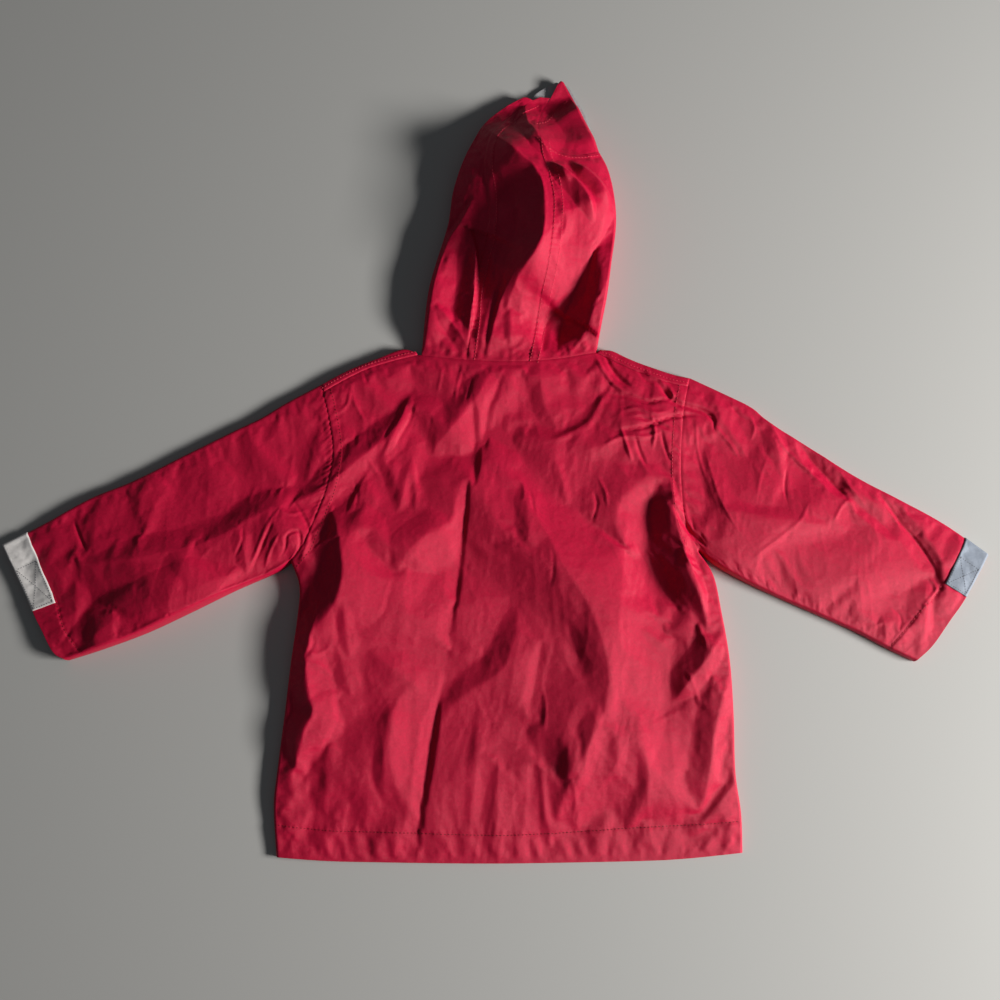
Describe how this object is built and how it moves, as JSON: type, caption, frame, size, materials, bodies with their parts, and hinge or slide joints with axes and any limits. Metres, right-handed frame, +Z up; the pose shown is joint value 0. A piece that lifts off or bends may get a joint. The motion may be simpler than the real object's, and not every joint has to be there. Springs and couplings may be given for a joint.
{
  "type": "kids rain jacket",
  "caption": "Child's hooded rain jacket in red coated cloth, laid face down with sleeves spread and hood up; lined brim, reflective cuff tabs and a snap front beneath.",
  "frame": {"origin": "middle of the laid-out garment's outline, on the surface it lies on", "axes": "+X towards the wearer's right cuff, +Y from the hem towards the tip of the hood, +Z up from the surface; the jacket lies face down"},
  "size_m": [0.9193, 0.756, 0.0538],
  "materials": {
    "red_cloth": "coated plain-weave nylon with a soft sheen",
    "grey_tape": "matte retroreflective tape",
    "grey_lining": "soft brushed lining",
    "snap_red": "moulded snap cap"
  },
  "bodies": {
    "root": {"back_panel": "red_cloth", "front_left": "red_cloth", "front_right": "red_cloth", "sleeve_left": "red_cloth", "sleeve_right": "red_cloth", "hood_side_left": "red_cloth", "hood_centre": "red_cloth", "hood_side_right": "red_cloth", "hood_brim": "red_cloth", "hood_lining": "grey_lining", "cuff_tab_left": "grey_tape", "cuff_tab_right": "grey_tape", "snap_1": "snap_red", "snap_2": "snap_red", "snap_3": "snap_red", "snap_4": "snap_red", "snap_5": "snap_red"}
  },
  "joints": []
}
